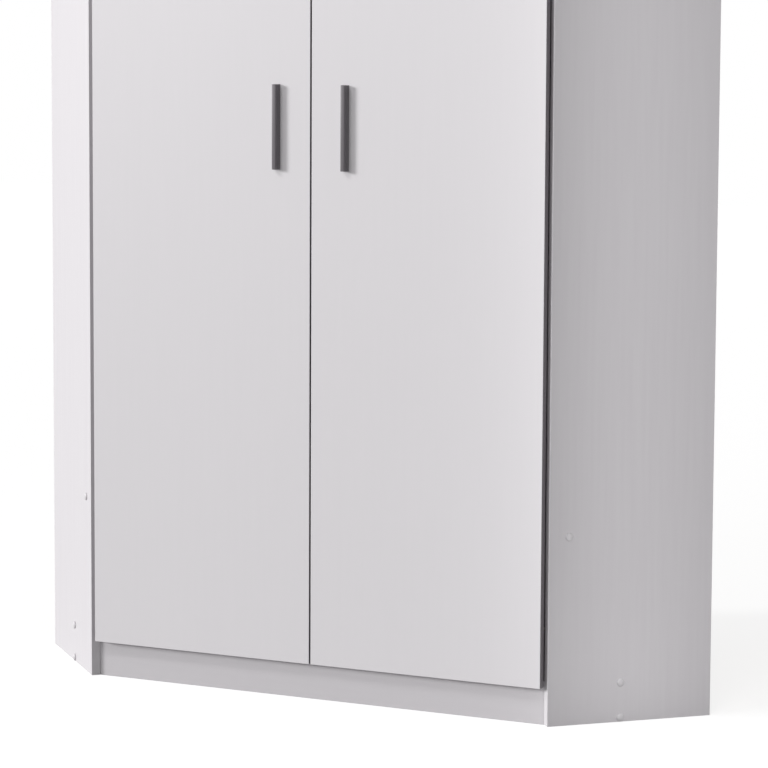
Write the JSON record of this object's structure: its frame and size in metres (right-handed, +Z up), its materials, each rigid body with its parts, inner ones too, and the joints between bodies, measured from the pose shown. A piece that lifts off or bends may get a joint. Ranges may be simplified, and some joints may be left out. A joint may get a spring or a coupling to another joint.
{
  "type": "corner wardrobe",
  "caption": "Corner wardrobe of white coated board with hinged doors across its diagonal front, upright grey bar handles, a plinth, shelves and a clothes rail.",
  "frame": {"origin": "the centre of the bounding box on the floor, between the handles' fronts and the corner where the two room walls meet", "axes": "+Z up; -Y is the diagonal front with the doors and +Y points into the room corner; +X to the right of someone who faces the doors"},
  "size_m": [1.3436, 0.9062, 1.98],
  "materials": {
    "white_board": "chipboard with a matt white melamine face and white edging",
    "hard_board": "thin hard board, lacquered white on the inner face",
    "handle_grey": "satin grey paint on a moulded bar",
    "screw_cap": "white moulded cap with a soft gloss",
    "hinge_nickel": "pressed steel with bright nickel plating",
    "rail_chrome": "polished chrome plating",
    "stop_pad": "soft translucent pad"
  },
  "bodies": {
    "carcass": {"bottom_board": "white_board", "top_board": "white_board", "lower_shelf": "white_board", "hat_shelf": "white_board", "plinth": "white_board", "base_rail": "white_board", "centre_support": "white_board", "corner_post": "white_board", "clothes_rail": "rail_chrome", "left_side": "white_board", "left_back_panel": "hard_board", "left_screw_base_rail": "screw_cap", "left_screw_bottom_board": "screw_cap", "left_screw_lower_shelf": "screw_cap", "left_screw_hat_shelf": "screw_cap", "left_screw_top_board": "screw_cap", "left_rail_bracket": "rail_chrome", "left_hinge_plate_low": "hinge_nickel", "left_hinge_plate_middle": "hinge_nickel", "left_hinge_plate_high": "hinge_nickel", "left_hinge_arm_low": "hinge_nickel", "left_hinge_arm_middle": "hinge_nickel", "left_hinge_arm_high": "hinge_nickel", "right_side": "white_board", "right_back_panel": "hard_board", "right_screw_base_rail": "screw_cap", "right_screw_bottom_board": "screw_cap", "right_screw_lower_shelf": "screw_cap", "right_screw_hat_shelf": "screw_cap", "right_screw_top_board": "screw_cap", "right_rail_bracket": "rail_chrome", "right_hinge_plate_low": "hinge_nickel", "right_hinge_plate_middle": "hinge_nickel", "right_hinge_plate_high": "hinge_nickel", "right_hinge_arm_low": "hinge_nickel", "right_hinge_arm_middle": "hinge_nickel", "right_hinge_arm_high": "hinge_nickel"},
    "left_door": {"left_door": "white_board", "left_handle": "handle_grey", "left_pad_low": "stop_pad", "left_pad_high": "stop_pad", "left_hinge_cup_low": "hinge_nickel", "left_hinge_cup_middle": "hinge_nickel", "left_hinge_cup_high": "hinge_nickel"},
    "right_door": {"right_door": "white_board", "right_handle": "handle_grey", "right_pad_low": "stop_pad", "right_pad_high": "stop_pad", "right_hinge_cup_low": "hinge_nickel", "right_hinge_cup_middle": "hinge_nickel", "right_hinge_cup_high": "hinge_nickel"},
    "left_links": {"left_hinge_link_low": "hinge_nickel", "left_hinge_link_middle": "hinge_nickel", "left_hinge_link_high": "hinge_nickel"},
    "right_links": {"right_hinge_link_low": "hinge_nickel", "right_hinge_link_middle": "hinge_nickel", "right_hinge_link_high": "hinge_nickel"}
  },
  "joints": [
    {"name": "left_door_hinge", "type": "hinge", "parent": "carcass", "child": "left_door", "pos_m": [-0.43858, -0.43605, 0], "axis": [0, 0, -1], "range_deg": [0, 95]},
    {"name": "right_door_hinge", "type": "hinge", "parent": "carcass", "child": "right_door", "pos_m": [0.43858, -0.43605, 0], "axis": [0, 0, 1], "range_deg": [0, 95]},
    {"name": "left_link_turn", "type": "hinge", "parent": "carcass", "child": "left_links", "pos_m": [-0.41358, -0.42805, 0], "axis": [0, 0, 1], "range_deg": [0, 31]},
    {"name": "right_link_turn", "type": "hinge", "parent": "carcass", "child": "right_links", "pos_m": [0.41358, -0.42805, 0], "axis": [0, 0, -1], "range_deg": [0, 31]}
  ],
  "couplings": [
    {"joint": "left_link_turn", "follows": "left_door_hinge", "ratio": 0.32},
    {"joint": "right_link_turn", "follows": "right_door_hinge", "ratio": 0.32}
  ]
}
